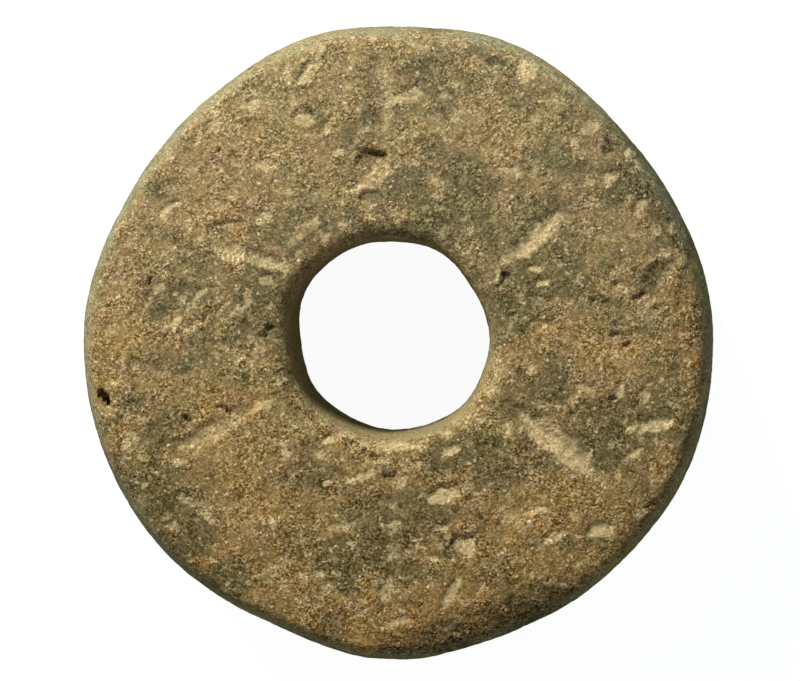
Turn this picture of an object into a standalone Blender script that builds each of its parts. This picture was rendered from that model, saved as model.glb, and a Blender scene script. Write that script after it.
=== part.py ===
"""Clay spindle whorl: one flat ring of sandy fired clay, with a round hole for the spindle and six worn
strokes pressed into its upper face.

Metres, +Z up. The ring lies on its underside with the spindle hole upright, and the origin is under the
middle of its outline. Angles are in degrees, anticlockwise from +X as seen from above."""

import math

import bmesh
import bpy
from mathutils import Vector

# The ring
RIM_RADIUS = 0.0160
THICKNESS = 0.0115
SIDE_SWELL = 0.0012
SIDE_SQUARENESS = 3.0

# The upper face is level out to this share of the way from hole to rim, then falls by this much to its edge
FALL_START = 0.35
FACE_FALL = 0.00045

# The spindle hole
HOLE_RADIUS = 0.00505
HOLE_LIP = 0.0010
HOLE_WAIST = 0.00012
HOLE_CENTRE = (-0.00041, 0.00025)

# The flat that it rests on, drawn in from the side's curve and from the hole's lip
LAND_MARGIN = 0.0004

# Uneven forming, as (lobes around the ring, swing in metres, angle of one high point)
RIM_WAVES = (
    (2, 0.000054, 80.6),
    (3, 0.000143, 86.8),
    (4, 0.000130, 0.0),
    (5, 0.000052, 56.2),
    (7, 0.000083, 13.6),
    (9, 0.000045, 25.3),
    (11, 0.000035, 6.5),
)
HOLE_WAVES = (
    (2, 0.000070, 145.0),
    (4, 0.000043, 59.0),
    (5, 0.000032, 1.5),
    (7, 0.000038, 7.1),
)
FACE_WAVES = (
    (1, 0.00010, 215.0),
    (3, 0.00006, 40.0),
)

# Facets
STEPS_AROUND = 132
STEPS_FACE = 15
STEPS_SIDE = 12
STEPS_LIP = 3
STEPS_WALL = 3

# The six strokes, as (angle, share of the way from hole to rim, heading, length, width, depth)
STROKES = (
    (93.0, 0.60, 88.5, 0.0068, 0.0017, 0.00036),
    (37.0, 0.40, 39.5, 0.0042, 0.0014, 0.00040),
    (-31.5, 0.43, -37.5, 0.0060, 0.0014, 0.00032),
    (-90.0, 0.45, -89.0, 0.0080, 0.0015, 0.00014),
    (204.0, 0.42, 27.0, 0.0056, 0.0014, 0.00034),
    (147.0, 0.31, -13.5, 0.0042, 0.0012, 0.00026),
)

# Losses on the upper face, as (angle, share of the way, heading, length, width, depth)
DENTS = (
    (94.5, 0.33, 88.0, 0.0024, 0.0018, 0.00045),
    (13.0, 0.78, 47.0, 0.0038, 0.0026, 0.00028),
    (-34.0, 0.88, 47.0, 0.0048, 0.0018, 0.00040),
    (190.0, 0.93, 90.0, 0.0014, 0.0015, 0.00060),
    (40.0, 0.94, -50.0, 0.0070, 0.0018, 0.00026),
    (-51.0, 0.99, 38.0, 0.0120, 0.0034, 0.00055),
)

CLAY_COLOUR = (0.21, 0.16, 0.09, 1.0)
CLAY_ROUGHNESS = 0.92
WELD_DISTANCE = 1e-6
SMOOTH_ANGLE = math.radians(50)


def clear_scene():
    for obj in list(bpy.data.objects):
        bpy.data.objects.remove(obj)


def arc(centre, radius_out, radius_up, start, end, steps):
    """Points (distance from the axis, height) along part of an ellipse, without its last point."""
    angles = [math.radians(start + (end - start) * i / steps) for i in range(steps)]
    return [(centre[0] + radius_out * math.cos(a), centre[1] + radius_up * math.sin(a)) for a in angles]


def swollen_side(inner_edge, steps):
    """The outer side, from the upper face round to the underside, as half of a squared ellipse."""
    half = THICKNESS / 2
    power = 2 / SIDE_SQUARENESS
    points = []
    for i in range(steps):
        a = math.radians(90 - 180 * i / steps)
        out = SIDE_SWELL * abs(math.cos(a)) ** power
        up = math.copysign(half * abs(math.sin(a)) ** power, math.sin(a))
        points.append((inner_edge + out, half + up))
    return points


def section():
    """The ring's cross-section as one closed loop: upper face, side, underside, wall of the hole."""
    face_inner = HOLE_RADIUS + HOLE_LIP
    face_outer = RIM_RADIUS - SIDE_SWELL
    wall_low = HOLE_LIP
    wall_high = THICKNESS - HOLE_LIP
    loop = []
    for i in range(STEPS_FACE):
        loop.append((face_inner + (face_outer - face_inner) * i / STEPS_FACE, THICKNESS))
    loop += swollen_side(face_outer, STEPS_SIDE)
    loop.append((face_outer, 0.0))
    loop.append((face_outer - LAND_MARGIN, 0.0))
    loop.append((face_inner + LAND_MARGIN, 0.0))
    loop += arc((face_inner, HOLE_LIP), HOLE_LIP, HOLE_LIP, 270, 180, STEPS_LIP)
    for i in range(STEPS_WALL):
        share = i / STEPS_WALL
        lean = HOLE_WAIST * math.sin(math.pi * share)
        loop.append((HOLE_RADIUS - lean, wall_low + (wall_high - wall_low) * share))
    loop += arc((face_inner, wall_high), HOLE_LIP, HOLE_LIP, 180, 90, STEPS_LIP)
    return loop


def waves(table, angle):
    """The sum of a table's swings at an angle in radians."""
    return sum(swing * math.cos(lobes * (angle - math.radians(peak))) for lobes, swing, peak in table)


def plan_point(share, angle):
    """The point in plan this share of the way from the hole to the rim of the uneven ring, at this angle."""
    heading = Vector((math.cos(angle), math.sin(angle)))
    at_hole = Vector(HOLE_CENTRE) + heading * (HOLE_RADIUS + waves(HOLE_WAVES, angle))
    at_rim = heading * (RIM_RADIUS + waves(RIM_WAVES, angle))
    return at_hole.lerp(at_rim, share)


def hollow(point, mark):
    """How deep a stroke or a dent is at a point in plan: deepest along its middle, and nothing past its edge."""
    angle, share, heading, length, width, depth = mark
    middle = plan_point(share, math.radians(angle))
    along = Vector((math.cos(math.radians(heading)), math.sin(math.radians(heading))))
    offset = point - middle
    across = Vector((-along.y, along.x))
    u = offset.dot(along) / (length / 2)
    v = offset.dot(across) / (width / 2)
    if abs(u) >= 1 or abs(v) >= 1:
        return 0.0
    return depth * (1 - u ** 4) * math.cos(v * math.pi / 2) ** 2


def upper_drop(point, share):
    """How far the upper face lies under its level, at a point in plan and a share of the way from hole to rim."""
    angle = math.atan2(point.y, point.x)
    fall = FACE_FALL * max(0.0, (share - FALL_START) / (1 - FALL_START)) ** 2
    swing = waves(FACE_WAVES, angle) * min(point.length / RIM_RADIUS, 1.0)
    return fall - swing + max(hollow(point, mark) for mark in STROKES + DENTS)


def make_clay():
    clay = bpy.data.materials.new("fired_clay")
    clay.use_nodes = True
    shader = clay.node_tree.nodes["Principled BSDF"]
    shader.inputs["Base Color"].default_value = CLAY_COLOUR
    shader.inputs["Roughness"].default_value = CLAY_ROUGHNESS
    shader.inputs["Metallic"].default_value = 0.0
    clay.diffuse_color = CLAY_COLOUR
    return clay


def turn_section(bm):
    """Spins the section once around the spindle's axis."""
    verts = [bm.verts.new((distance, 0.0, height)) for distance, height in section()]
    edges = [bm.edges.new((verts[i - 1], verts[i])) for i in range(len(verts))]
    bmesh.ops.spin(
        bm,
        geom=verts + edges,
        cent=(0, 0, 0),
        axis=(0, 0, 1),
        angle=2 * math.pi,
        steps=STEPS_AROUND,
        use_merge=True,
    )
    bmesh.ops.remove_doubles(bm, verts=bm.verts, dist=WELD_DISTANCE)
    bmesh.ops.recalc_face_normals(bm, faces=bm.faces)


def shape_by_hand(bm):
    """Moves the turned ring onto its uneven outline, and presses in the strokes and losses."""
    half = THICKNESS / 2
    for vert in bm.verts:
        angle = math.atan2(vert.co.y, vert.co.x)
        share = (vert.co.xy.length - HOLE_RADIUS) / (RIM_RADIUS - HOLE_RADIUS)
        plan = plan_point(share, angle)
        above_middle = max(0.0, (vert.co.z - half) / half)
        vert.co.z -= upper_drop(plan, share) * above_middle
        vert.co.xy = plan


def centre_on_outline(bm):
    """Puts the origin under the middle of the outline's box."""
    for axis in (0, 1):
        low = min(vert.co[axis] for vert in bm.verts)
        high = max(vert.co[axis] for vert in bm.verts)
        for vert in bm.verts:
            vert.co[axis] -= (low + high) / 2


def make_whorl():
    bm = bmesh.new()
    turn_section(bm)
    shape_by_hand(bm)
    centre_on_outline(bm)
    mesh = bpy.data.meshes.new("whorl")
    bm.to_mesh(mesh)
    bm.free()
    mesh.shade_smooth()
    mesh.set_sharp_from_angle(angle=SMOOTH_ANGLE)
    mesh.materials.append(make_clay())
    whorl = bpy.data.objects.new("whorl", mesh)
    bpy.context.scene.collection.objects.link(whorl)
    return whorl


def main():
    clear_scene()
    make_whorl()


main()
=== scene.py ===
"""A worn, sandy clay spindle whorl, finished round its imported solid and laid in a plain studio.

Lengths are in metres. Places on the upper face are read from a picture of it, in the picture's pixels."""

import math

import bpy
import numpy as np
from mathutils import Matrix, Vector, kdtree, noise


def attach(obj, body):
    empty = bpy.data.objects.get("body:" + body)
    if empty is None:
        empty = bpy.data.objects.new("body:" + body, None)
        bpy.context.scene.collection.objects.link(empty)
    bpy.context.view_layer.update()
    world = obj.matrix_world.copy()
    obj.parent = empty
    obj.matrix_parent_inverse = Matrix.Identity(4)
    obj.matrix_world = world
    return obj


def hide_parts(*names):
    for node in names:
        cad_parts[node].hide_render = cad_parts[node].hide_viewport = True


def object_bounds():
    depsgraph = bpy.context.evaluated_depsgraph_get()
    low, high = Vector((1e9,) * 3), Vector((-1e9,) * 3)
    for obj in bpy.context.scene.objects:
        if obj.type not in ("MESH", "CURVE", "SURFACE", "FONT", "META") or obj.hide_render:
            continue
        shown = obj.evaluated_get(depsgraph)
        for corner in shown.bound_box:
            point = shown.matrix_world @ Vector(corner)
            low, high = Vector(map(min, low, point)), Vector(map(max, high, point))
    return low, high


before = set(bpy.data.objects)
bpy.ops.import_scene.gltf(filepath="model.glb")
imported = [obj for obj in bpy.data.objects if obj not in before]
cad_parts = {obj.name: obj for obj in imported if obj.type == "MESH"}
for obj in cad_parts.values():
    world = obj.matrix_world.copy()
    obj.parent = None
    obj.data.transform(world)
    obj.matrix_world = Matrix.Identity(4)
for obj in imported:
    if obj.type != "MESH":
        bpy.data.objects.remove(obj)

bl_info = {
    "name": "Clay Spindle Whorl",
    "version": (1, 0, 0),
    "blender": (4, 5, 0),
    "location": "3D View > Sidebar > Whorl",
    "description": "Builds a worn, sandy clay spindle whorl and a plain studio round it",
    "category": "Add Mesh",
}

SOLID_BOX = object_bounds()
NODE = "whorl"
MM = 0.001

# The picture: where the middle of the upper face lies in it, and how much of the face one pixel covers
FACE_MIDDLE = (395.6, 345.4)
FACE_PIXEL = 0.0500 * MM

# The mesh before its one subdivision, as steps around the ring and rows along each stretch of its section
STEPS_AROUND = 297
ROWS_FACE = 38
ROWS_SIDE = 22
ROWS_UNDER = 6
ROWS_LIP = 4
ROWS_WALL = 8
WELD = 1e-6

# The fine lines along the floor of a stroke, and how much deeper they are than the rest of it
LINE_WIDTH = 0.20 * MM
LINE_STRETCH = 9.0
LINE_SHARE = 0.25

# Fine relief all over, as (size of its lumps in millimetres, octaves, shift of its pattern)
LUMPS = (2.4, 3, 5.5)
KNOBS = (0.70, 3, 25.5)
GRIT = (0.28, 1, 45.5)
FLAKES = (1.1, 3, 81.5)

# How high each stands in millimetres, how far the whole is sunk, and the most that stands up after that
RELIEF_HEIGHTS = {"lumps": 0.040, "knobs": 0.024, "grit": 0.020, "flakes": -0.022}
RELIEF_SINK = 0.02 * MM
RELIEF_TOP = 0.02 * MM

# Small random pits: how many, their radius and depth in millimetres, and the seed of their places
PITS = (160, 0.15, 0.10, 11)

# Where a chip's or a tint's edge starts and ends, as shares of half its size
CHIP_RIM = (1.05, 0.82)
TINT_RIM = (1.25, 0.35)

# How marks wander from their drawn edges, as (size of the lumps, octaves, reach, shift), in millimetres
CHIP_EDGES = (0.45, 2, 0.18, 13.1)
TINT_EDGES = (1.8, 4, 1.1, 17.7)

# How steep the surface gets between a face and the outer side, and between a face and the hole's wall
SIDE_STEEP = (0.55, 0.96)
BORE_STEEP = (0.60, 0.95)

# Shares of the upper half's height between which the upper face's tints set in
UPPER_FADE = (0.35, 0.8)

# Where in its pattern a thin flake of skin starts and is whole
FLAKE_STEP = (0.10, 0.20)

# Heights between which the relief fades towards the flat underside, and the outer side takes its painted
# greenish reflection
FLAT_FADE = (0.3 * MM, 0.0)
GREEN_REFLECTION_FADE = (8.4 * MM, 10.8 * MM)
GREEN_REFLECTION_WANDER = 2.4 * MM

# Across the face, from the picture's foot to its head, the colour turns from warm and dark to cool and
# light: painted shade at the foot and painted light towards the head, where the key light comes from, with a
# shift of tint
SHADE_AND_TINT_SPAN = (-15 * MM, 15 * MM)

# A hollow this deep gets the darkest painted shade
HOLLOW_SHADE_DEPTH = 0.40 * MM

# The ring's section and its uneven outline, as in the solid
SIDE_SQUARENESS = 3.0
HOLE_WAIST = 0.12 * MM
LAND_MARGIN = 0.4 * MM
FALL_START = 0.35
RIM_WAVES = (
    (2, 0.054, 80.6),
    (3, 0.143, 86.8),
    (4, 0.130, 0.0),
    (5, 0.052, 56.2),
    (7, 0.083, 13.6),
    (9, 0.045, 25.3),
    (11, 0.035, 6.5),
)
HOLE_WAVES = (
    (2, 0.070, 145.0),
    (4, 0.043, 59.0),
    (5, 0.032, 1.5),
    (7, 0.038, 7.1),
)
FACE_WAVES = (
    (1, 0.10, 215.0),
    (3, 0.06, 40.0),
)

# The six strokes: one end and the other in pixels, width in pixels, depth in millimetres, and how far its
# deepest line leans to the left of its middle
STROKES = {
    "top": ((380, 172), (378, 44), 38, 0.14, 0.05),
    "upper right": ((504, 262), (568, 210), 25, 0.12, 0.10),
    "lower right": ((510, 408), (612, 490), 26, 0.20, 0.20),
    "bottom": ((389, 462), (390, 630), 30, 0.08, 0.0),
    "lower left": ((164, 458), (268, 400), 30, 0.14, 0.10),
    "upper left": ((212, 246), (290, 268), 26, 0.13, 0.15),
}

# Chips, flakes, pits and raised crumbs on the face: middle, heading, length and width in pixels, depth in
# millimetres (less than nothing stands up), lean (how much deeper the left-hand side is), paleness
CHIPS = {
    "slot": ((372, 171), 0, 42, 40, 0.28, 0.98, 0.15),
    "slot, its dark edge": ((373, 153), -8, 34, 7, 0.28, 0.4, 0.0),
    "slot, pale ledge": ((360, 190), 8, 32, 10, -0.10, 0.0, 1.0),
    "slot, crumb at the edge": ((389, 157), 60, 10, 6, -0.06, 0.0, 0.9),
    "slot, crumb on the floor": ((386, 173), 80, 14, 7, -0.10, 0.0, 0.9),
    "slot, low crumb": ((374, 178), 0, 26, 14, -0.05, 0.0, 0.6),
    "slot, round flake below": ((372, 201), 0, 26, 24, 0.07, 0.8, 0.35),
    "top, long hollow": ((344, 115), 97, 140, 22, 0.08, -0.5, 0.0),
    "top, long hollow's end": ((318, 190), 112, 100, 20, 0.06, -0.5, 0.1),
    "top, pale ridge": ((347, 84), 80, 60, 12, -0.03, 0.0, 0.5),
    "top, dark side of the stroke": ((368, 96), 88, 90, 11, 0.010, 0.2, 0.0),
    "top, sliver": ((317, 57), 62, 34, 7, -0.06, 0.0, 0.95),
    "top, groove by the sliver": ((325, 52), 62, 28, 4, 0.10, 0.0, 0.0),
    "top left, scar": ((307, 72), 50, 36, 15, 0.14, 0.8, 0.75),
    "top left, flake": ((285, 76), 75, 18, 11, 0.10, 0.6, 0.85),
    "top left, lower flake": ((252, 104), 60, 20, 14, 0.10, 0.5, 0.8),
    "notch, right": ((308, 110), -42, 17, 4, 0.24, 0.6, 0.0),
    "notch, left": ((297, 110), 45, 15, 4, 0.20, 0.6, 0.0),
    "notch, pale floor": ((302, 119), 0, 26, 16, 0.12, 0.8, 0.7),
    "notch, dark line": ((323, 126), 68, 22, 4, 0.13, 0.3, 0.0),
    "notch, pale line": ((329, 128), 68, 20, 6, -0.04, 0.0, 0.7),
    "notch, shelf": ((313, 133), 10, 44, 10, 0.07, 0.6, 0.4),
    "upper left, flake": ((265, 164), 10, 22, 12, 0.09, 0.7, 0.8),
    "upper left, speck": ((338, 152), 0, 12, 9, 0.09, 0.5, 0.7),
    "top right of the stroke": ((414, 86), 12, 44, 6, 0.10, 0.6, 0.0),
    "top right, pale": ((408, 97), 14, 44, 14, -0.03, 0.0, 0.7),
    "left rim, big flake": ((213, 121), 80, 28, 14, 0.10, 0.6, 0.9),
    "left rim, sliver": ((196, 136), 85, 22, 7, 0.09, 0.5, 0.8),
    "left rim, lower sliver": ((167, 209), 28, 28, 8, 0.09, 0.6, 0.8),
    "crescent": ((232, 199), -40, 11, 6, -0.06, 0.0, 1.0),
    "left, flake": ((262, 218), 10, 20, 12, 0.10, 0.7, 0.8),
    "upper left stroke, hollow above": ((232, 231), 0, 62, 20, 0.09, 0.5, 0.0),
    "upper left stroke, below": ((265, 281), -40, 18, 12, 0.09, 0.3, 0.7),
    "by the hole, upper left": ((300, 234), 42, 56, 14, -0.03, 0.0, 0.6),
    "left, pale ridge": ((172, 325), 38, 26, 9, -0.06, 0.0, 0.9),
    "left, groove by the ridge": ((166, 332), 38, 20, 4, 0.09, 0.0, 0.0),
    "left, streak": ((205, 318), 42, 30, 7, 0.10, 0.5, 0.50),
    "left, upper streak": ((196, 296), 48, 28, 8, 0.10, 0.6, 0.60),
    "left, thin streak": ((222, 306), 44, 26, 6, 0.08, 0.4, 0.45),
    "left, low streak": ((188, 328), 36, 24, 6, 0.08, 0.4, 0.50),
    "by the hole, left, pit": ((267, 331), 60, 12, 9, 0.26, 0.5, 0.0),
    "by the hole, left, flake": ((257, 348), 70, 24, 14, 0.08, 0.4, 0.55),
    "by the hole, lower left, flake": ((280, 378), 60, 26, 12, 0.08, 0.4, 0.50),
    "left, thin arc": ((113, 299), -8, 36, 4, -0.04, 0.0, 0.7),
    "left, pale spot": ((155, 288), 40, 20, 12, 0.09, 0.5, 0.6),
    "left, worn patch": ((133, 374), 10, 54, 26, 0.07, 0.3, 0.4),
    "left, small pit": ((147, 281), 90, 8, 7, 0.16, 0.0, 0.0),
    "left, lower small pit": ((129, 316), 0, 9, 7, 0.12, 0.0, 0.0),
    "left edge, hole": ((99, 399), -58, 17, 9, 0.80, 0.2, 0.0),
    "left edge, end of the hole": ((103, 404), -50, 11, 6, 0.50, 0.0, 0.0),
    "lower left, buff flake": ((127, 444), 60, 26, 18, 0.09, -0.6, 0.95),
    "lower left, flake's border": ((135, 449), 60, 22, 4, 0.10, 0.0, 0.0),
    "lower left, upper speck": ((138, 421), 15, 18, 8, 0.09, 0.4, 0.7),
    "lower left, worn patch": ((113, 414), -10, 34, 18, 0.07, 0.3, 0.4),
    "lower left stroke, pit": ((183, 422), -30, 12, 6, 0.26, 0.3, 0.0),
    "lower left stroke, upper pit": ((219, 408), -20, 13, 6, 0.20, 0.3, 0.0),
    "lower left stroke, small pit": ((226, 412), -40, 9, 5, 0.16, 0.0, 0.0),
    "lower left stroke, crack": ((159, 448), 48, 28, 3, 0.10, 0.2, 0.0),
    "lower left, speck": ((173, 463), -30, 16, 9, 0.07, 0.3, 0.9),
    "lower left edge, streak": ((192, 505), -20, 46, 12, 0.09, 0.4, 0.6),
    "lower left edge, flake": ((206, 518), -25, 28, 10, 0.09, 0.4, 0.7),
    "lower left edge, speck": ((168, 530), 0, 22, 10, 0.07, 0.4, 0.6),
    "lower left, pale streak": ((330, 440), 28, 28, 9, 0.09, 0.4, 0.8),
    "lower left, slit": ((326, 485), 10, 15, 8, -0.05, 0.0, 0.9),
    "lower left, dot": ((289, 475), 0, 13, 10, 0.07, 0.3, 0.6),
    "lower left, tilted flake": ((271, 524), -55, 18, 10, 0.09, -0.4, 0.8),
    "bottom left, ridge": ((265, 575), 27, 60, 9, -0.04, 0.0, 0.7),
    "bottom left, groove": ((256, 586), 27, 50, 6, 0.08, 0.5, 0.0),
    "bottom left, reddish pit": ((245, 597), 0, 20, 12, 0.10, 0.4, 0.1),
    "bottom left, speck": ((318, 577), 10, 18, 10, 0.09, 0.4, 0.8),
    "bottom left, tilted speck": ((332, 590), -45, 26, 9, 0.09, 0.3, 0.6),
    "bottom left, low scar": ((338, 529), 10, 44, 9, 0.09, 0.5, 0.6),
    "hole, lower left, worn lip": ((319, 410), -48, 104, 30, 0.34, 0.9, 0.45),
    "crack under the hole": ((351, 448), -26, 62, 8, 0.32, 0.3, 0.2),
    "crack, its far end": ((384, 459), -8, 20, 6, 0.16, 0.2, 0.2),
    "below the hole, square flake": ((362, 477), 15, 16, 13, 0.07, 0.4, 0.9),
    "lower left stroke, inner end": ((258, 408), 25, 26, 9, -0.04, 0.0, 0.8),
    "pit below the hole": ((389, 478), 30, 13, 11, 0.22, 0.4, 0.0),
    "pit below the hole, pale side": ((403, 473), 25, 20, 8, -0.04, 0.0, 0.7),
    "below the hole, flake": ((450, 451), 28, 24, 11, 0.09, 0.5, 0.9),
    "bottom, large flake": ((443, 498), 18, 42, 17, 0.12, 0.5, 0.72),
    "bottom, flake's pits": ((445, 489), 10, 18, 5, 0.14, 0.0, 0.0),
    "bottom, worn patch": ((386, 504), 0, 26, 14, 0.09, 0.5, 0.48),
    "bottom, small flake": ((440, 530), 15, 20, 8, 0.09, 0.4, 0.7),
    "bottom, thin streak": ((416, 542), 12, 16, 4, -0.05, 0.0, 0.8),
    "bottom, round scar": ((464, 548), 10, 25, 17, 0.12, 0.5, 0.72),
    "bottom, round scar's edge": ((456, 540), 40, 14, 4, 0.14, 0.0, 0.0),
    "bottom, dot": ((501, 554), 0, 10, 8, -0.04, 0.0, 0.8),
    "bottom, double speck": ((394, 559), 5, 30, 10, 0.07, 0.4, 0.48),
    "bottom, upright flake": ((385, 592), 75, 32, 14, 0.10, 0.4, 0.7),
    "bottom, long streak": ((450, 597), 60, 46, 12, 0.10, 0.5, 0.72),
    "bottom, short streak": ((482, 590), 38, 18, 8, 0.09, 0.4, 0.6),
    "bottom edge, flake": ((396, 625), 18, 36, 10, 0.09, 0.5, 0.7),
    "lower right, worn patch": ((515, 515), 10, 34, 18, 0.07, 0.3, 0.5),
    "lower right, large flake": ((600, 532), 8, 34, 17, 0.14, 0.3, 0.80),
    "lower right, flake's edge": ((607, 543), -10, 26, 4, 0.10, 0.0, 0.0),
    "lower right, streak": ((553, 539), 30, 30, 9, 0.09, 0.4, 0.85),
    "lower right, speck": ((537, 511), 20, 26, 9, 0.07, 0.4, 0.7),
    "lower right, knob": ((580, 519), 0, 12, 10, -0.06, 0.0, 0.4),
    "right, large flake": ((655, 426), 12, 40, 16, 0.12, 0.5, 0.85),
    "right, flake's crumb": ((632, 430), 20, 18, 9, -0.04, 0.0, 0.9),
    "right, flake's groove": ((641, 418), 40, 14, 4, 0.09, 0.0, 0.0),
    "right, upright flake": ((619, 390), 70, 20, 12, 0.10, 0.4, 0.9),
    "right, small pit": ((612, 401), 0, 9, 6, 0.14, 0.0, 0.0),
    "right, outer flake": ((644, 398), 60, 15, 12, 0.09, 0.3, 0.75),
    "right, low scar": ((585, 389), -10, 24, 12, 0.09, 0.3, 0.6),
    "right, lower streak": ((633, 455), 30, 28, 7, 0.09, 0.4, 0.75),
    "lower right edge, crack": ((655, 504), 35, 40, 4, 0.12, 0.2, 0.0),
    "lower right edge, knob": ((641, 515), 30, 20, 10, -0.05, 0.0, 0.6),
    "lower right edge, arc": ((560, 586), -8, 42, 8, -0.05, 0.0, 0.6),
    "hole edge, crumb": ((468, 258), -52, 22, 11, -0.09, 0.0, 0.45),
    "hole edge, pit": ((462, 248), -40, 14, 6, 0.14, 0.4, 0.0),
    "ringed pit": ((504, 278), 20, 14, 10, 0.28, 0.4, 0.0),
    "ringed pit, pale ring": ((497, 277), 80, 17, 7, -0.07, 0.0, 0.95),
    "right of the hole, flake": ((534, 269), -10, 18, 9, 0.09, 0.4, 0.8),
    "right of the hole, lower flake": ((542, 283), 10, 15, 10, 0.10, 0.4, 0.8),
    "right of the hole, round scar": ((540, 326), 0, 28, 18, 0.10, 0.9, 0.35),
    "right hollow": ((658, 274), 45, 42, 20, 0.13, 0.2, 0.0),
    "right hollow, notch": ((640, 297), 38, 16, 7, 0.24, 0.4, 0.0),
    "right hollow, pale side": ((650, 304), 30, 16, 8, -0.05, 0.0, 0.85),
    "right hollow, upper crumb": ((664, 257), 40, 16, 10, -0.06, 0.0, 1.0),
    "right, slit": ((614, 336), 20, 10, 4, 0.20, 0.0, 0.0),
    "right, lower slit": ((626, 344), 30, 13, 4, 0.16, 0.0, 0.0),
    "right, pit above": ((594, 303), 40, 11, 6, 0.14, 0.3, 0.0),
    "right, dot above": ((617, 284), 0, 8, 6, 0.14, 0.0, 0.0),
    "rim chip, buff": ((526, 69), 60, 28, 22, 0.15, 0.5, 1.0),
    "rim chip, dark hollow": ((504, 61), 20, 32, 18, 0.14, 0.4, 0.0),
    "rim chip, crumb": ((497, 66), 40, 14, 5, -0.05, 0.0, 0.8),
    "upper right rim, line": ((562, 83), -28, 46, 6, -0.05, 0.0, 0.7),
    "upper right, oval flake": ((514, 171), -15, 18, 12, 0.09, 0.5, 0.65),
    "upper right, sliver": ((573, 149), 85, 26, 8, 0.07, 0.3, 0.65),
    "upper right, worn patch": ((590, 126), 30, 30, 20, 0.07, 0.3, 0.5),
    "upper right edge, crack": ((618, 144), -20, 30, 5, 0.18, 0.4, 0.0),
    "upper right edge, pit": ((608, 153), 0, 14, 7, 0.18, 0.3, 0.0),
    "upper right edge, crumb": ((629, 152), -30, 13, 8, -0.06, 0.0, 1.0),
    "upper right edge, line": ((639, 166), -45, 26, 6, -0.06, 0.0, 0.85),
    "upper right edge, flake": ((608, 179), 30, 28, 14, 0.09, 0.4, 0.6),
    "right edge, flake": ((640, 206), 30, 20, 12, 0.12, 0.5, 0.7),
    "right edge, flake's pit": ((636, 211), 0, 9, 5, 0.16, 0.0, 0.0),
    "right edge, worn patch": ((668, 201), -50, 28, 13, 0.09, 0.3, 0.35),
    "right edge, lower patch": ((671, 227), -50, 22, 10, 0.09, 0.4, 0.5),
    "upper right stroke, upper part": ((526, 212), 32, 50, 9, 0.05, 0.3, 0.35),
    "upper right stroke, dark line": ((531, 224), 30, 52, 3, 0.08, 0.3, 0.0),
    "upper right stroke, far patch": ((568, 221), 20, 16, 12, -0.03, 0.0, 0.6),
    "upper right edge, flattened": ((654, 192), -57, 180, 38, 0.26, 0.3, 0.0),
    "right edge, worn down": ((696, 326), 88, 170, 44, 0.20, -0.3, 0.0),
    "lower right edge, hollow": ((644, 522), 47, 70, 24, 0.08, -0.3, 0.0),
}

# Where the strokes are worn pale, and where the lip and wall of the hole are lightened by wear and painted
# light: middle, heading, length and width in pixels, strength
PALE_AND_PAINTED_LIGHT = {
    "top stroke": ((386, 95), 88, 110, 18, 0.55),
    "upper right stroke": ((537, 236), 42, 86, 25, 1.00),
    "upper right stroke, inner end": ((508, 256), 30, 34, 18, 0.55),
    "lower right stroke": ((560, 447), -38, 128, 34, 0.90),
    "lower left stroke": ((212, 433), 28, 118, 34, 0.52),
    "below the lower left stroke": ((236, 450), 24, 110, 40, 0.28),
    "upper left stroke": ((230, 253), -12, 50, 24, 0.80),
    "upper left stroke, inner part": ((266, 264), -14, 56, 18, 0.75),
    # The hole's entries are painted light over some wear. They lift the lip and wall where shade falls and
    # brighten the lip on its lit side.
    "hole, upper left": ((338, 238), 40, 120, 20, 0.34),
    "hole, above": ((398, 229), 0, 60, 14, 0.22),
    "hole, below": ((388, 448), 2, 110, 16, 0.62),
    "hole, lower left": ((346, 438), -30, 50, 10, 0.60),
    "hole, lower left wall": ((322, 410), -48, 70, 14, 0.50),
    "lower left, smooth patch": ((287, 425), -30, 44, 28, 0.34),
    "hole, lower right": ((456, 428), 40, 60, 14, 0.35),
    "hole, right": ((496, 380), 62, 60, 20, 0.50),
    "lower right": ((556, 512), 20, 90, 26, 0.30),
}

# The rim worn back at the lower right: middle, heading, length, width in pixels, depth in millimetres
WORN_RIM = ((486, 634), 17, 260, 76, 0.38)

# Tints on the face: middle, heading, length and width in pixels, strength
OCHRE = {
    "left": ((112, 325), 90, 110, 56, 0.75),
    "left, inward": ((125, 350), 40, 90, 36, 0.40),
    "right": ((684, 322), 75, 110, 50, 0.70),
    "right, inward": ((620, 345), 12, 120, 22, 0.50),
    "right, small": ((640, 262), -10, 24, 12, 0.70),
    "upper right": ((625, 215), -50, 34, 20, 0.70),
    "lower left": ((235, 520), 60, 150, 56, 0.80),
    "bottom": ((440, 618), 8, 240, 44, 0.80),
    "bottom left": ((355, 610), -20, 100, 30, 0.60),
    "lower right": ((560, 510), 20, 150, 50, 0.60),
    "right edge": ((690, 380), 80, 110, 26, 0.70),
    "hole edge": ((468, 258), -52, 30, 18, 1.40),
    "right of the hole": ((540, 330), 0, 50, 26, 0.50),
    "below the slot": ((372, 166), 0, 40, 16, 0.55),
    "right of the slot": ((412, 128), 0, 40, 60, 0.50),
    "top": ((468, 64), 70, 30, 16, 0.70),
    "top, face": ((515, 145), 70, 44, 26, 0.60),
    "above the upper left stroke": ((236, 234), 0, 56, 22, 0.60),
    "above the lower left stroke": ((206, 412), 20, 60, 20, 0.65),
    "left, below": ((108, 440), 70, 60, 24, 0.50),
    "below the pit": ((400, 583), 0, 60, 26, 0.45),
    "pitted flake": ((447, 492), 10, 36, 16, 0.50),
    "hole, below": ((394, 452), 4, 150, 30, 0.50),
    "upper left": ((215, 180), 40, 110, 60, 0.18),
    "round flake": ((372, 205), 0, 26, 22, 0.50),
}
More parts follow.
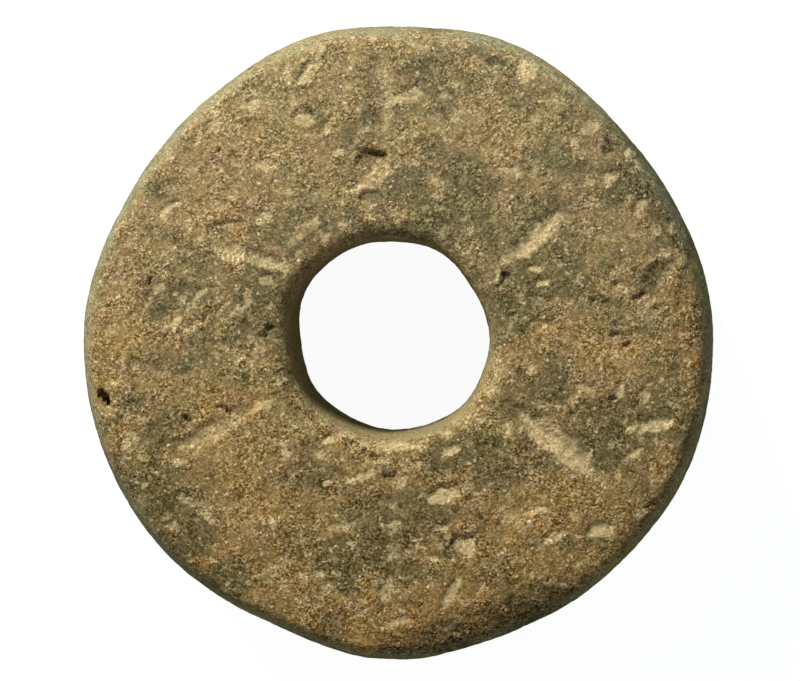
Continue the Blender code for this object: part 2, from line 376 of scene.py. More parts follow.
GREY_AND_PAINTED_SHADE = {
    "right of the hole": ((548, 378), 20, 76, 52, 1.00),
    "below the hole, right": ((478, 458), -25, 120, 62, 1.00),
    "below the hole": ((420, 520), 10, 110, 60, 0.70),
    "above the hole": ((430, 178), 10, 120, 70, 0.95),
    "hole, upper right": ((440, 215), -20, 100, 40, 0.90),
    "upper middle": ((540, 165), 0, 130, 60, 0.45),
    "upper right": ((650, 178), -60, 120, 50, 0.90),
    "right edge, above": ((675, 230), -75, 90, 40, 0.90),
    "right of the upper right stroke": ((580, 240), 0, 60, 60, 0.65),
    "right hollow": ((655, 280), 45, 50, 30, 0.80),
    "right of the hole, above": ((520, 305), 80, 60, 30, 0.60),
    "right pits": ((612, 330), 10, 50, 26, 0.70),
    "right edge": ((692, 450), 75, 120, 40, 0.85),
    "lower right": ((610, 445), 0, 60, 40, 0.50),
    "left of the hole": ((252, 310), 80, 110, 54, 0.75),
    "left of the hole, below": ((215, 372), 10, 90, 40, 0.55),
    "lower left edge": ((170, 520), -50, 150, 50, 0.75),
    "below the lower left stroke": ((290, 480), 0, 90, 60, 0.40),
    "bottom left": ((290, 525), 20, 80, 60, 0.35),
    "bottom": ((350, 560), 10, 80, 50, 0.50),
    "lower middle": ((390, 535), 0, 70, 60, 0.60),
    # Painted shade: the rim at the lower right, which falls away from the light, is greyed darker.
    "bottom right edge": ((490, 620), 18, 200, 40, 0.70),
    "left, above": ((160, 300), 50, 80, 30, 0.45),
    "upper left edge": ((115, 230), 60, 60, 20, 0.45),
    "slot": ((367, 108), 88, 100, 26, 0.34),
    "right, between the strokes": ((560, 292), 5, 160, 64, 0.75),
    "upper right, wide": ((600, 160), -45, 170, 90, 0.40),
    "upper left, small": ((166, 212), 45, 40, 26, 0.40),
    "hole, right": ((504, 322), 88, 74, 36, 1.40),
    "above the hole, left": ((342, 216), 25, 100, 40, 0.40),
    "left, wide": ((190, 362), 20, 90, 50, 0.50),
    "bottom, wide": ((400, 575), 0, 170, 50, 0.45),
    # Painted shade: the lip above the hole, which slopes away from the light, is greyed darker.
    "hole, top": ((385, 228), 0, 200, 34, 0.45),
    "top hollow": ((500, 66), 20, 34, 26, 0.70),
    "lower right stroke, above": ((590, 420), -30, 80, 30, 0.55),
}

# Clouds in the clay, as (clouds per millimetre, detail, roughness), and how far some drift, in millimetres
BROAD = (0.22, 3, 0.55)
ROSY = (0.50, 3, 0.55)
MOTTLE = (0.80, 3, 0.55)
COARSE = (1.1, 2, 0.5)
PATCHY = (1.5, 5, 0.72)
DRIFT = (2.4, 2, 0.6)
SPECKLE = (4.5, 4, 0.75)
DRIFT_REACH = 0.45

# What makes the clay warmer, and where it then turns from grey to brown and from brown to ochre
WARMTH = {"ochre": 0.60, "grey": -0.50, "broad": 2.1, "mottle": 1.45, "level": -0.725}
GREY_TO_BROWN = (0.65, 1.15)
BROWN_TO_OCHRE = (1.10, 1.70)

# Casts that the clay's colour is multiplied by: greenish and rosy clouds, and the ends of the face, with
# painted shade at the foot and painted light at the head
ROSY_CASTS = ((0.97, 1.01, 0.97), (1.03, 0.985, 1.02))
END_SHADE_AND_TINTS = ((0.83, 0.78, 0.66), (0.99, 1.04, 1.13))

# Sand: coarse and fine grains per millimetre, and what a light grain adds to the colour
SAND_GRAINS = 8.0
DUST_GRAINS = 11.5
GRAIN_COLOUR = (0.150, 0.125, 0.076)
GRAIN_MEAN = 0.33
BUMP_DEPTH = 0.17 * MM

# Sockets of a node that mixes two colours
MIX_FACTOR, MIX_A, MIX_B, MIX_RESULT = 0, 6, 7, 2

# The studio: directions are degrees anticlockwise from the picture's right, and degrees up
KEY_FROM = (119, 31)
KEY_DISTANCE = 0.45
KEY_WIDTH = 0.14
CAMERA_FROM = (45, 87.2)
CAMERA_AIM = (0.02 * MM, 0.09 * MM)
SENSOR_WIDTH = 36
FLOOR_WIDTH = 1.6
FLOOR_GAP = 0.02 * MM
FLOOR_MATT = (0.16, 0.22, 0.20, 1)
FLOOR_SEEN = ((1, 1, 1, 1), 0.94)
FLOOR_BOUNCE = ((0.75, 1.0, 0.62, 1), 0.22)
WHITE = (1, 1, 1, 1)


def at(pixel):
    """The place in plan on the upper face that a pixel of the picture shows."""
    return np.array([(pixel[0] - FACE_MIDDLE[0]) * FACE_PIXEL, (FACE_MIDDLE[1] - pixel[1]) * FACE_PIXEL])


def smooth(low, high, values):
    """A soft step from 0 at low to 1 at high."""
    t = np.clip((values - low) / (high - low), 0, 1)
    return t * t * (3 - 2 * t)


def waves(table, angle):
    """The sum of a table's swings, in metres, at angles in radians."""
    return sum(swing * MM * np.cos(lobes * (angle - math.radians(peak))) for lobes, swing, peak in table)


def rough(points, lump, octaves, shift):
    """Fractal unevenness at each point, about -1 to 1, with lumps of this size."""
    offset = Vector((shift, shift * 0.7, -shift))
    return np.array([noise.fractal(Vector(p) / lump + offset, 1.0, 2.0, octaves) for p in points])


def deselect_all():
    """Leaves edit mode and lets go of everything, because an operator acts on all that is selected."""
    if bpy.context.object and bpy.context.object.mode != "OBJECT":
        bpy.ops.object.mode_set(mode="OBJECT")
    bpy.ops.object.select_all(action="DESELECT")


def read_points(mesh):
    points = np.empty(len(mesh.vertices) * 3, np.float32)
    mesh.vertices.foreach_get("co", points)
    return points.reshape(-1, 3).astype(float)


def write_points(mesh, points):
    mesh.vertices.foreach_set("co", points.astype(np.float32).ravel())
    mesh.update()


def read_normals(mesh):
    normals = np.empty(len(mesh.vertices) * 3, np.float32)
    mesh.vertex_normals.foreach_get("vector", normals)
    return normals.reshape(-1, 3).astype(float)


def write_attribute(mesh, name, values):
    layer = mesh.attributes.new(name, "FLOAT", "POINT")
    layer.data.foreach_set("value", values.astype(np.float32))


class WhorlSizes(bpy.types.PropertyGroup):
    rim_radius: bpy.props.FloatProperty(
        name="Rim radius", description="Mean radius of the outline", default=16.0 * MM, unit="LENGTH",
        precision=5
    )
    thickness: bpy.props.FloatProperty(
        name="Thickness", description="From the underside to the level of the upper face", default=11.5 * MM,
        unit="LENGTH", precision=5
    )
    side_swell: bpy.props.FloatProperty(
        name="Side swell", description="How far the outer side stands out past the faces", default=1.2 * MM,
        unit="LENGTH", precision=5
    )
    face_fall: bpy.props.FloatProperty(
        name="Face fall", description="How far the upper face falls towards its edge", default=0.45 * MM,
        unit="LENGTH", precision=5
    )
    hole_radius: bpy.props.FloatProperty(
        name="Hole radius", description="Radius of the spindle hole", default=5.05 * MM, unit="LENGTH",
        precision=5
    )
    hole_lip: bpy.props.FloatProperty(
        name="Hole lip", description="Width of the eased edge of the hole", default=1.0 * MM, unit="LENGTH",
        precision=5
    )
    hole_centre: bpy.props.FloatVectorProperty(
        name="Hole centre", description="Where the hole's axis stands from the ring's", size=2,
        default=(-0.41 * MM, 0.25 * MM), unit="LENGTH", precision=5
    )


class WhorlColours(bpy.types.PropertyGroup):
    clay: bpy.props.FloatVectorProperty(
        name="Clay", description="Olive-brown body of the clay", size=3, default=(0.258, 0.180, 0.074),
        subtype="COLOR", min=0, max=1
    )
    grey: bpy.props.FloatVectorProperty(
        name="Grey", description="Smoked, greyer clay", size=3, default=(0.140, 0.109, 0.045),
        subtype="COLOR", min=0, max=1
    )
    ochre: bpy.props.FloatVectorProperty(
        name="Ochre", description="Warm, oxidised clay", size=3, default=(0.320, 0.203, 0.074),
        subtype="COLOR", min=0, max=1
    )
    pale: bpy.props.FloatVectorProperty(
        name="Pale", description="Freshly worn clay and pale dust", size=3,
        default=(0.502, 0.388, 0.190), subtype="COLOR", min=0, max=1
    )
    # Edge: a painted greenish reflection. This cooler olive tint near the top of the outer side stands in
    # for light thrown back from a green ground.
    edge: bpy.props.FloatVectorProperty(
        name="Edge", description="Cooler, olive skin near the top of the outer side", size=3,
        default=(0.224, 0.210, 0.120), subtype="COLOR", min=0, max=1
    )
    # Bore: painted bounce light. The hole's wall is tinted lighter and greener than the clay, in place of
    # light thrown up into the hole from below.
    bore: bpy.props.FloatVectorProperty(
        name="Bore", description="Olive skin of the spindle hole's wall", size=3,
        default=(0.248, 0.204, 0.088), subtype="COLOR", min=0, max=1
    )
    glint: bpy.props.FloatVectorProperty(
        name="Glint", description="Pale quartz grains", size=3, default=(0.640, 0.570, 0.400),
        subtype="COLOR", min=0, max=1
    )


class StudioSizes(bpy.types.PropertyGroup):
    camera_distance: bpy.props.FloatProperty(
        name="Camera distance", description="From the lens to the middle of the whorl", default=0.240,
        unit="LENGTH"
    )
    picture_width: bpy.props.FloatProperty(
        name="Picture width", description="Width that the picture shows at the middle of the whorl",
        default=41.13 * MM, unit="LENGTH", precision=5
    )
    key_power: bpy.props.FloatProperty(
        name="Key light", description="Power of the soft light at the upper left", default=3.72, unit="POWER"
    )
    sky: bpy.props.FloatProperty(
        name="Fill", description="Strength of the even light from all round", default=0.30, min=0
    )


def section_points(sizes):
    """The section as one closed loop of (distance from the axis, height), from the upper face round."""
    inner = sizes.hole_radius + sizes.hole_lip
    outer = sizes.rim_radius - sizes.side_swell
    top = sizes.thickness
    half = top / 2
    lip = sizes.hole_lip
    loop = [(inner + (outer - inner) * i / ROWS_FACE, top) for i in range(ROWS_FACE)]
    power = 2 / SIDE_SQUARENESS
    for i in range(ROWS_SIDE):
        a = math.radians(90 - 180 * i / ROWS_SIDE)
        out = sizes.side_swell * abs(math.cos(a)) ** power
        loop.append((outer + out, half + math.copysign(half * abs(math.sin(a)) ** power, math.sin(a))))
    loop += [(outer, 0.0), (outer - LAND_MARGIN, 0.0)]
    land = outer - inner - 2 * LAND_MARGIN
    loop += [(outer - LAND_MARGIN - land * i / ROWS_UNDER, 0.0) for i in range(1, ROWS_UNDER + 1)]
    for i in range(ROWS_LIP):
        a = math.radians(270 - 90 * i / ROWS_LIP)
        loop.append((inner + lip * math.cos(a), lip + lip * math.sin(a)))
    for i in range(ROWS_WALL):
        share = i / ROWS_WALL
        waist = HOLE_WAIST * math.sin(math.pi * share)
        loop.append((sizes.hole_radius - waist, lip + (top - 2 * lip) * share))
    for i in range(ROWS_LIP):
        a = math.radians(180 - 90 * i / ROWS_LIP)
        loop.append((inner + lip * math.cos(a), top - lip + lip * math.sin(a)))
    return loop


def spin_ring(name, loop):
    """A circle laid on the section's points, then spun once round the spindle's axis."""
    deselect_all()
    near, far = min(loop)[0], max(loop)[0]
    bpy.ops.mesh.primitive_circle_add(
        vertices=len(loop), radius=(far - near) / 2, location=((near + far) / 2, 0, 0),
        rotation=(math.pi / 2, 0, 0)
    )
    ring = bpy.context.object
    ring.name = ring.data.name = name
    bpy.ops.object.transform_apply(location=True, rotation=True, scale=True)
    write_points(ring.data, np.array([(distance, 0.0, height) for distance, height in loop]))
    bpy.ops.object.mode_set(mode="EDIT")
    bpy.ops.mesh.select_all(action="SELECT")
    bpy.ops.mesh.spin(steps=STEPS_AROUND, angle=2 * math.pi, center=(0, 0, 0), axis=(0, 0, 1))
    bpy.ops.mesh.select_all(action="SELECT")
    bpy.ops.mesh.remove_doubles(threshold=WELD)
    bpy.ops.mesh.subdivide(number_cuts=1)
    bpy.ops.mesh.normals_make_consistent(inside=False)
    bpy.ops.object.mode_set(mode="OBJECT")
    bpy.ops.object.shade_smooth()
    return ring


def across(plan, middle, heading, length, width):
    """Each point's place along and across a mark, both -1 to 1 inside it."""
    along = np.array([math.cos(math.radians(heading)), math.sin(math.radians(heading))])
    offset = plan - at(middle)
    u = offset @ along / (length * FACE_PIXEL / 2)
    v = offset @ np.array([-along[1], along[0]]) / (width * FACE_PIXEL / 2)
    return u, v


def leaning(v, lean):
    """A hollow's profile across: 1 along its deepest line, which lies at lean, and 0 at its edges."""
    left = (v + 1) / (1 + lean)
    right = (1 - v) / (1 - lean)
    t = np.clip(np.minimum(left, right), 0, 1)
    return t * t * (3 - 2 * t)


def line_of(start, end):
    """A stroke's middle, heading and length in pixels."""
    middle = ((start[0] + end[0]) / 2, (start[1] + end[1]) / 2)
    rise, run = start[1] - end[1], end[0] - start[0]
    return middle, math.degrees(math.atan2(rise, run)), math.hypot(rise, run)


def stroke_depth(plan):
    """How deep the six strokes are at each point, with fine lines drawn along each one's floor."""
    depth = np.zeros(len(plan))
    for start, end, width, deep, lean in STROKES.values():
        middle, heading, length = line_of(start, end)
        u, v = across(plan, middle, heading, length, width)
        near = (np.abs(u) < 1) & (np.abs(v) < 1)
        floor = np.zeros((near.sum(), 3))
        floor[:, 0] = u[near] * length * FACE_PIXEL / 2 / LINE_STRETCH
        floor[:, 1] = v[near] * width * FACE_PIXEL / 2
        lines = 1 + LINE_SHARE * rough(floor, LINE_WIDTH, 1, 8.8)
        ends = 1 - np.abs(u[near]) ** 4
        depth[near] = np.maximum(depth[near], deep * MM * ends * leaning(v[near], lean) * lines)
    return depth


def chip_marks(plan):
    """How deep the chips, flakes and pits are at each point, and how pale."""
    depth = np.zeros(len(plan))
    pale = np.zeros(len(plan))
    for middle, heading, length, width, deep, lean, paleness in CHIPS.values():
        u, v = across(plan, middle, heading, length, width)
        inside = smooth(*CHIP_RIM, np.hypot(u, v))
        depth += deep * MM * inside * (1 + lean * np.clip(v, -1, 1)) / (1 + abs(lean))
        pale = np.maximum(pale, paleness * inside)
    middle, heading, length, width, deep = WORN_RIM
    u, v = across(plan, middle, heading, length, width)
    depth += deep * MM * (1 - np.clip(np.abs(u), 0, 1) ** 4) * leaning(v, 0)
    return depth, pale


def tint(plan, table):
    """How strongly a table's patches colour each point."""
    total = np.zeros(len(plan))
    for middle, heading, length, width, strength in table.values():
        u, v = across(plan, middle, heading, length, width)
        total = np.maximum(total, strength * smooth(*TINT_RIM, np.hypot(u, v)))
    return total


def shape_ring(mesh, sizes):
    """Moves the turned ring onto its uneven outline, as the solid is, and returns what the relief needs."""
    points = read_points(mesh)
    angle = np.arctan2(points[:, 1], points[:, 0])
    distance = np.hypot(points[:, 0], points[:, 1])
    share = (distance - sizes.hole_radius) / (sizes.rim_radius - sizes.hole_radius)
    heading = np.stack([np.cos(angle), np.sin(angle)], 1)
    at_hole = np.array(sizes.hole_centre) + heading * (sizes.hole_radius + waves(HOLE_WAVES, angle))[:, None]
    at_rim = heading * (sizes.rim_radius + waves(RIM_WAVES, angle))[:, None]
    plan = at_hole + (at_rim - at_hole) * share[:, None]
    half = sizes.thickness / 2
    above = np.clip((points[:, 2] - half) / half, 0, None)
    fall = sizes.face_fall * np.clip((share - FALL_START) / (1 - FALL_START), 0, None) ** 2
    swing = waves(FACE_WAVES, np.arctan2(plan[:, 1], plan[:, 0])) * np.minimum(
        np.hypot(plan[:, 0], plan[:, 1]) / sizes.rim_radius, 1
    )
    points[:, :2] = plan
    points[:, 2] -= (fall - swing) * above
    write_points(mesh, points)
    return points, plan, share, above


def scatter_pits(points, spread, count, reach, deep, seed):
    """How deep small round losses at random places are at each point."""
    chance = np.random.default_rng(seed)
    tree = kdtree.KDTree(len(points))
    for i, p in enumerate(points):
        tree.insert(p, i)
    tree.balance()
    pressed = np.zeros(len(points))
    for i in chance.choice(len(points), count, p=spread / spread.sum()):
        radius = reach * MM * chance.uniform(0.5, 1.3)
        depth = deep * MM * chance.uniform(0.3, 1.0)
        for _, j, gap in tree.find_range(points[i], radius):
            pressed[j] = max(pressed[j], depth * (1 - (gap / radius) ** 2))
    return pressed


def patch_sizes(mesh):
    """The surface that each vertex stands for, so that scattered marks are as dense everywhere."""
    areas = np.empty(len(mesh.polygons))
    mesh.polygons.foreach_get("area", areas)
    corners = np.empty(len(mesh.loops), np.int32)
    mesh.loops.foreach_get("vertex_index", corners)
    totals = np.empty(len(mesh.polygons), np.int32)
    mesh.polygons.foreach_get("loop_total", totals)
    return np.bincount(corners, weights=np.repeat(areas / totals, totals), minlength=len(mesh.vertices))


def shifted(plan, points, lump, octaves, reach, shift):
    """The plan with each point pushed about, so that a mark drawn on it gets a ragged edge."""
    push = [rough(points, lump * MM, octaves, shift * turn) for turn in (1, 2)]
    return plan + np.stack(push, 1) * reach * MM


def weather(mesh, points, plan, share, above):
    """Presses strokes, losses, pits and grit into the ring, and notes for the finish where they are."""
    normals = read_normals(mesh)
    ragged = shifted(plan, points, *CHIP_EDGES)
    wandering = shifted(plan, points, *TINT_EDGES)
    upper = smooth(*UPPER_FADE, above)
    steep = np.hypot(normals[:, 0], normals[:, 1])
    side = smooth(*SIDE_STEEP, steep) * (share > 0.5)
    bore = smooth(*BORE_STEEP, steep) * (share < 0.4)
    calm = 1 - 0.3 * bore - 0.2 * side
    chips, pale = chip_marks(ragged)
    down = (stroke_depth(ragged) + chips) * np.clip(above, 0, 1)

    lumps, knobs, grit, scales = (
        rough(points, lump * MM, octaves, shift) for lump, octaves, shift in (LUMPS, KNOBS, GRIT, FLAKES)
    )
    flakes = smooth(*FLAKE_STEP, scales)
    spread = patch_sizes(mesh) * (1 - 0.8 * bore)
    pits = scatter_pits(points, spread, *PITS)
    forms = {"lumps": lumps, "knobs": knobs, "grit": grit, "flakes": flakes}
    relief = sum(height * MM * forms[name] for name, height in RELIEF_HEIGHTS.items())
    relief = np.minimum(calm * relief - RELIEF_SINK, RELIEF_TOP)
    resting = smooth(*FLAT_FADE, points[:, 2])
    points = points + normals * (relief - pits)[:, None] * (1 - resting)[:, None]
    points[:, 2] -= down

    # Painted shade: chips that are not pale, and pits, are darkened the deeper they are.
    deep = np.clip(chips, 0, None) * (1 - pale) + pits
    write_attribute(mesh, "hollow", np.clip(deep / HOLLOW_SHADE_DEPTH, 0, 1))
    write_attribute(mesh, "high", np.clip(0.5 + 0.5 * knobs + 0.35 * grit, 0, 1))
    write_attribute(mesh, "flake", flakes * calm)
    write_attribute(mesh, "ochre", tint(wandering, OCHRE) * upper)
    # The pale mask carries worn clay and, round the hole, painted light.
    write_attribute(mesh, "pale", np.maximum(pale, tint(ragged, PALE_AND_PAINTED_LIGHT)) * upper)
    # The grey mask carries greyer clay and, at the hole's upper lip and the lower right rim, painted shade.
    write_attribute(mesh, "grey", tint(wandering, GREY_AND_PAINTED_SHADE) * upper)
    # Where the painted greenish reflection lies: near the top of the steep outer side.
    write_attribute(mesh, "side", side * smooth(*GREEN_REFLECTION_FADE, points[:, 2] + GREEN_REFLECTION_WANDER * lumps))
    # Painted shade and light across the face: 0 at the picture's foot, 1 at its head.
    write_attribute(mesh, "tint_and_shade", smooth(*SHADE_AND_TINT_SPAN, wandering[:, 1]))
    # The bore mask also places the painted bounce light on the hole's wall.
    write_attribute(mesh, "bore", bore)
    return points


def fit_to_solid(points, centre_from):
    """Centres the ring as the solid is, and keeps every point inside the solid's box."""
    low, high = (np.array(corner) for corner in SOLID_BOX)
    middle = (centre_from[:, :2].min(0) + centre_from[:, :2].max(0)) / 2
    points[:, :2] += (low + high)[:2] / 2 - middle
    return np.clip(points, low, high)


class Wire:
    """The output of a shader node, so that shader maths is written as sums and products."""

    def __init__(self, bench, socket):
        self.bench = bench
        self.socket = socket

    def maths(self, operation, *values):
        return self.bench.node("ShaderNodeMath", {"operation": operation}, dict(enumerate(values)))

    def __add__(self, other):
        return self.maths("ADD", self, other)

    def __sub__(self, other):
        return self.maths("SUBTRACT", self, other)

    def __rsub__(self, other):
        return self.maths("SUBTRACT", other, self)

    def __mul__(self, other):
        return self.maths("MULTIPLY", self, other)

    __radd__ = __add__
    __rmul__ = __mul__


class Bench:
    """A material being mixed: its nodes, and short ways to the ones that are used most."""

    def __init__(self, name):
        self.material = bpy.data.materials.new(name)
        self.material.use_nodes = True
        self.tree = self.material.node_tree
        self.shader = self.tree.nodes["Principled BSDF"]

    def node(self, kind, settings, inputs, output=0):
        made = self.tree.nodes.new(kind)
        for name, value in settings.items():
            setattr(made, name, value)
        for name, value in inputs.items():
            if isinstance(value, Wire):
                self.tree.links.new(value.socket, made.inputs[name])
            else:
                made.inputs[name].default_value = value
        return Wire(self, made.outputs[output])

    def attribute(self, name):
        return self.node("ShaderNodeAttribute", {"attribute_name": name}, {}, "Fac")

    def vector(self, operation, value, other=None, **inputs):
        sockets = {0: value} if other is None else {0: value, 1: other}
        return self.node("ShaderNodeVectorMath", {"operation": operation}, {**sockets, **inputs})

    def grain(self, colour):
        """A number for each cell, 0 to 1, of which few are high."""
        share = self.node("ShaderNodeSeparateColor", {}, {"Color": colour}, "Red")
        return share * share

    def cloud(self, place, scale, detail, roughness=0.5, output="Fac"):
        inputs = {"Vector": place, "Scale": scale, "Detail": detail, "Roughness": roughness}
        return self.node("ShaderNodeTexNoise", {}, inputs, output)

    def cells(self, place, scale, output):
        return self.node("ShaderNodeTexVoronoi", {}, {"Vector": place, "Scale": scale}, output)

    def step(self, value, low, high, bottom=0.0, top=1.0):
        inputs = {"Value": value, "From Min": low, "From Max": high, "To Min": bottom, "To Max": top}
        return self.node("ShaderNodeMapRange", {"interpolation_type": "SMOOTHSTEP"}, inputs)

    def mix(self, factor, a, b, blend="MIX"):
        inputs = {MIX_FACTOR: factor}
        for socket, colour in ((MIX_A, a), (MIX_B, b)):
            inputs[socket] = colour if isinstance(colour, Wire) else (*colour, 1.0)
        settings = {"data_type": "RGBA", "blend_type": blend}
        return self.node("ShaderNodeMix", settings, inputs, MIX_RESULT)

    def join(self, wire, socket):
        self.tree.links.new(wire.socket, self.shader.inputs[socket])


def clay_finish(colours):
    """Sandy fired clay: patches of colour, pale flakes, and sand grains light and dark, with painted shade
    in hollows and towards the picture's foot, painted light round the hole, and a painted greenish
    reflection on the outer side and the hole's wall.
    """
    bench = Bench("fired_clay_worn")
    place = bench.node("ShaderNodeTexCoord", {}, {}, "Object")
    place = bench.vector("SCALE", place, Scale=1 / MM)
    drift = bench.vector("SUBTRACT", bench.cloud(place, *DRIFT, "Color"), (0.5, 0.5, 0.5))
    drifted = bench.vector("ADD", place, bench.vector("SCALE", drift, Scale=DRIFT_REACH))
    hollow, high, pale = bench.attribute("hollow"), bench.attribute("high"), bench.attribute("pale")
    side, bore, flake = bench.attribute("side"), bench.attribute("bore"), bench.attribute("flake")

    mottle = bench.cloud(drifted, *MOTTLE)
    patchy = bench.cloud(place, *PATCHY)
    speckle = bench.cloud(place, *SPECKLE)
    sand = bench.cells(place, SAND_GRAINS, "Distance")
    sand_tone = bench.grain(bench.cells(place, SAND_GRAINS, "Color"))
    dust_tone = bench.grain(bench.cells(place, DUST_GRAINS, "Color"))

    tints = bench.attribute("ochre") * WARMTH["ochre"] + bench.attribute("grey") * WARMTH["grey"]
    clouds = bench.cloud(place, *BROAD) * WARMTH["broad"] + mottle * WARMTH["mottle"]
    warm = tints + clouds + WARMTH["level"]
    colour = bench.mix(bench.step(warm, *GREY_TO_BROWN), tuple(colours.grey), tuple(colours.clay))
    colour = bench.mix(bench.step(warm, *BROWN_TO_OCHRE), colour, tuple(colours.ochre))
    worn = bench.step(pale + (speckle - 0.5) * 0.8 + (patchy - 0.5) * 1.1, 0.22, 0.88)
    flecks = bench.step(patchy + flake * 0.05, 0.568, 0.615) * bench.step(mottle, 0.35, 0.65, 0.15, 0.75)
    rosy = bench.step(bench.cloud(drifted, *ROSY), 0.36, 0.64)
    colour = bench.mix(1.0, colour, bench.mix(rosy, *ROSY_CASTS), "MULTIPLY")
    # Painted shade and light: darker and warmer towards the picture's foot, lighter and cooler towards its
    # head.
    colour = bench.mix(1.0, colour, bench.mix(bench.attribute("tint_and_shade"), *END_SHADE_AND_TINTS), "MULTIPLY")
    colour = bench.mix(worn * 0.78, colour, tuple(colours.pale))
    colour = bench.mix(flecks * 0.95, colour, tuple(colours.pale))
    # Painted reflection: the top of the outer side is tinted cool olive, as though lit from a green ground.
    colour = bench.mix(side * 0.60, colour, tuple(colours.edge))
    # Painted bounce light: the hole's wall is tinted lighter and greener, as though lit from below.
    colour = bench.mix(bore * 0.6, colour, tuple(colours.bore))

    calm = 1 - 0.2 * bore - 0.25 * side
    gritty = bench.step(bench.cloud(place, *COARSE), 0.38, 0.62, 0.65, 1.25)
    gritty = gritty * calm * bench.step(warm, *GREY_TO_BROWN, 0.70, 1.0)
    tone = (sand_tone - GRAIN_MEAN) * 0.60 + (dust_tone - GRAIN_MEAN) * 1.25
    tone = tone + (speckle - 0.5) * 0.35 + (high - 0.5) * 0.12
    # Painted shade: hollows are darkened by their depth.
    colour = bench.vector("SCALE", colour, Scale=1 + tone * 0.27 * gritty - hollow * 0.35)
    colour = bench.vector("ADD", colour, bench.vector("SCALE", GRAIN_COLOUR, Scale=tone * gritty))
    glint = bench.step(sand_tone, 0.930, 0.950) * bench.step(speckle, 0.48, 0.56) * (1 - 0.7 * bore)
    colour = bench.mix(glint * 0.6, colour, tuple(colours.glint))
    bench.join(colour, "Base Color")
    bench.join(bench.step(glint, 0.0, 1.0, 0.94, 0.60), "Roughness")

    height = speckle * 0.5 + patchy * 0.45 + flecks * 0.18 - sand * 0.14
    bump = {"Strength": 1.0, "Distance": BUMP_DEPTH, "Height": height * gritty}
    bench.join(bench.node("ShaderNodeBump", {}, bump), "Normal")
    bench.shader.inputs["Specular IOR Level"].default_value = 0.2
    return bench.material


class WHORL_OT_clay(bpy.types.Operator):
    """Builds the whorl: one worn ring of sandy fired clay with its spindle hole and strokes"""

    bl_idname = "whorl.clay"
    bl_label = "Clay Whorl"
    bl_options = {"REGISTER", "UNDO"}

    def execute(self, context):
        sizes = context.scene.whorl_sizes
        ring = spin_ring("whorl_clay", section_points(sizes))
        points, plan, share, above = shape_ring(ring.data, sizes)
        outline = points.copy()
        points = weather(ring.data, points, plan, share, above)
        write_points(ring.data, fit_to_solid(points, outline))
        ring.data.materials.append(clay_finish(context.scene.whorl_colours))
        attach(ring, "root")
        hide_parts(NODE)
        return {"FINISHED"}


def soft_light(name, direction, distance, size, power):
    """A square soft box that shines on the middle of the whorl."""
    light = bpy.data.lights.new(name, "AREA")
    light.size = size
    light.energy = power
    lamp = bpy.data.objects.new(name, light)
    bpy.context.scene.collection.objects.link(lamp)
    lamp.location = direction * distance
    lamp.rotation_euler = lamp.location.to_track_quat("Z", "Y").to_euler()


def towards(azimuth, elevation):
    """A direction, with the azimuth in degrees anticlockwise from the picture's right."""
    a, e = math.radians(azimuth), math.radians(elevation)
    return Vector((math.cos(a) * math.cos(e), math.sin(a) * math.cos(e), math.sin(e)))


def seen_and_lit(tree, seen, lit):
    """One shader where the camera sees the surface, and another for the light that comes from it."""
    path = tree.nodes.new("ShaderNodeLightPath")
    blend = tree.nodes.new("ShaderNodeMixShader")
    tree.links.new(path.outputs["Is Camera Ray"], blend.inputs[0])
    tree.links.new(lit, blend.inputs[1])
    tree.links.new(seen, blend.inputs[2])
    return blend.outputs[0]


def lay_floor():
    """A plain pale ground, wide enough to fill every view, that throws a faint green light back."""
    deselect_all()
    bpy.ops.mesh.primitive_plane_add(size=FLOOR_WIDTH, location=(0, 0, -FLOOR_GAP))
    floor = bpy.context.object
    floor.name = "floor"
    paint = bpy.data.materials.new("pale_ground")
    paint.use_nodes = True
    nodes, links = paint.node_tree.nodes, paint.node_tree.links
    nodes.remove(nodes["Principled BSDF"])
    matt = nodes.new("ShaderNodeBsdfDiffuse")
    matt.inputs["Color"].default_value = FLOOR_MATT
    sides = []
    for colour, strength in (FLOOR_SEEN, FLOOR_BOUNCE):
        glow = nodes.new("ShaderNodeEmission")
        glow.inputs["Color"].default_value = colour
        glow.inputs["Strength"].default_value = strength
        both = nodes.new("ShaderNodeAddShader")
        links.new(matt.outputs[0], both.inputs[0])
        links.new(glow.outputs[0], both.inputs[1])
        sides.append(both.outputs[0])
    surface = seen_and_lit(paint.node_tree, *sides)
    links.new(surface, nodes["Material Output"].inputs["Surface"])
    floor.data.materials.append(paint)


def hang_sky(strength):
    """Even white light from all round, and a white backdrop behind the floor."""
    sky = bpy.data.worlds.new("studio")
    bpy.context.scene.world = sky
    sky.use_nodes = True
    nodes, links = sky.node_tree.nodes, sky.node_tree.links
    fill = nodes["Background"]
    fill.inputs["Color"].default_value = WHITE
    fill.inputs["Strength"].default_value = strength
    backdrop = nodes.new("ShaderNodeBackground")
    backdrop.inputs["Color"].default_value = WHITE
    surface = seen_and_lit(sky.node_tree, backdrop.outputs[0], fill.outputs[0])
    links.new(surface, nodes["World Output"].inputs["Surface"])


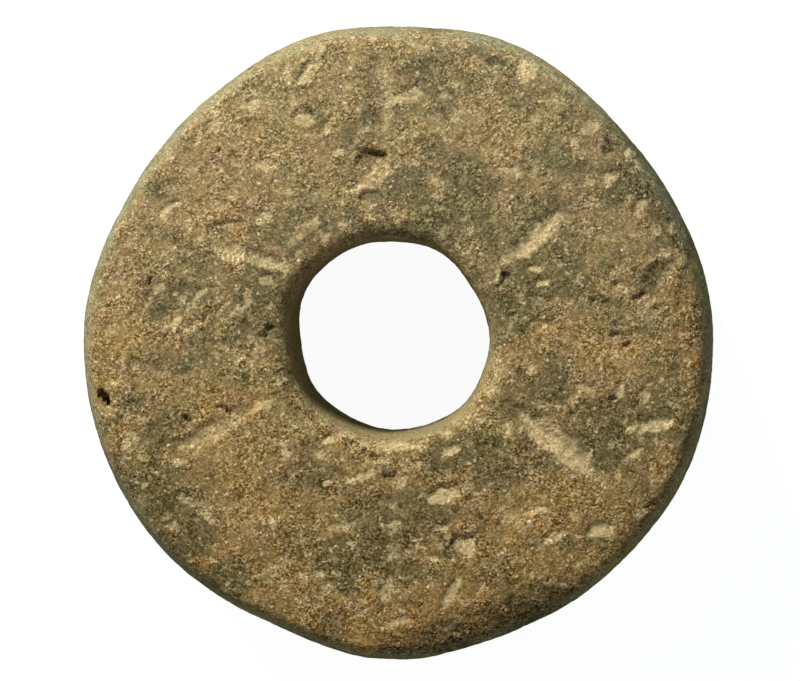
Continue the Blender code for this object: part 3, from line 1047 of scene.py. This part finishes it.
def aim_camera(studio):
    """Looks almost straight down, from a little to the picture's upper right, with +Y up in the picture."""
    camera = bpy.data.objects.new("camera", bpy.data.cameras.new("camera"))
    bpy.context.scene.collection.objects.link(camera)
    low, high = (Vector(corner) for corner in SOLID_BOX)
    target = (low + high) / 2 + Vector((*CAMERA_AIM, 0))
    back = towards(*CAMERA_FROM)
    right = Vector((0, 1, 0)).cross(back).normalized()
    up = back.cross(right)
    turn = Matrix((right, up, back)).transposed()
    camera.matrix_world = Matrix.Translation(target + back * studio.camera_distance) @ turn.to_4x4()
    camera.data.sensor_width = SENSOR_WIDTH
    camera.data.lens = SENSOR_WIDTH * studio.camera_distance / studio.picture_width
    camera.data.clip_start = 0.01
    camera.data.clip_end = 5
    bpy.context.scene.camera = camera


class WHORL_OT_studio(bpy.types.Operator):
    """Lays the pale floor, hangs the soft lights and aims the camera"""

    bl_idname = "whorl.studio"
    bl_label = "Plain Studio"
    bl_options = {"REGISTER", "UNDO"}

    def execute(self, context):
        studio = context.scene.whorl_studio
        lay_floor()
        hang_sky(studio.sky)
        soft_light("key", towards(*KEY_FROM), KEY_DISTANCE, KEY_WIDTH, studio.key_power)
        context.scene.view_settings.view_transform = "Standard"
        aim_camera(studio)
        return {"FINISHED"}


class WHORL_PT_panel(bpy.types.Panel):
    """Sizes, colours and steps of the whorl"""

    bl_label = "Spindle Whorl"
    bl_idname = "WHORL_PT_panel"
    bl_space_type = "VIEW_3D"
    bl_region_type = "UI"
    bl_category = "Whorl"

    def draw(self, context):
        for group in (context.scene.whorl_sizes, context.scene.whorl_colours, context.scene.whorl_studio):
            box = self.layout.box()
            for name in group.__annotations__:
                box.prop(group, name)
        self.layout.operator("whorl.clay")
        self.layout.operator("whorl.studio")


CLASSES = (WhorlSizes, WhorlColours, StudioSizes, WHORL_OT_clay, WHORL_OT_studio, WHORL_PT_panel)
GROUPS = {"whorl_sizes": WhorlSizes, "whorl_colours": WhorlColours, "whorl_studio": StudioSizes}


def register():
    for made in CLASSES:
        bpy.utils.register_class(made)
    for name, group in GROUPS.items():
        setattr(bpy.types.Scene, name, bpy.props.PointerProperty(type=group))


def unregister():
    for name in GROUPS:
        delattr(bpy.types.Scene, name)
    for made in reversed(CLASSES):
        bpy.utils.unregister_class(made)


def main():
    register()
    bpy.ops.whorl.clay()
    bpy.ops.whorl.studio()


if __name__ == "__main__":
    main()
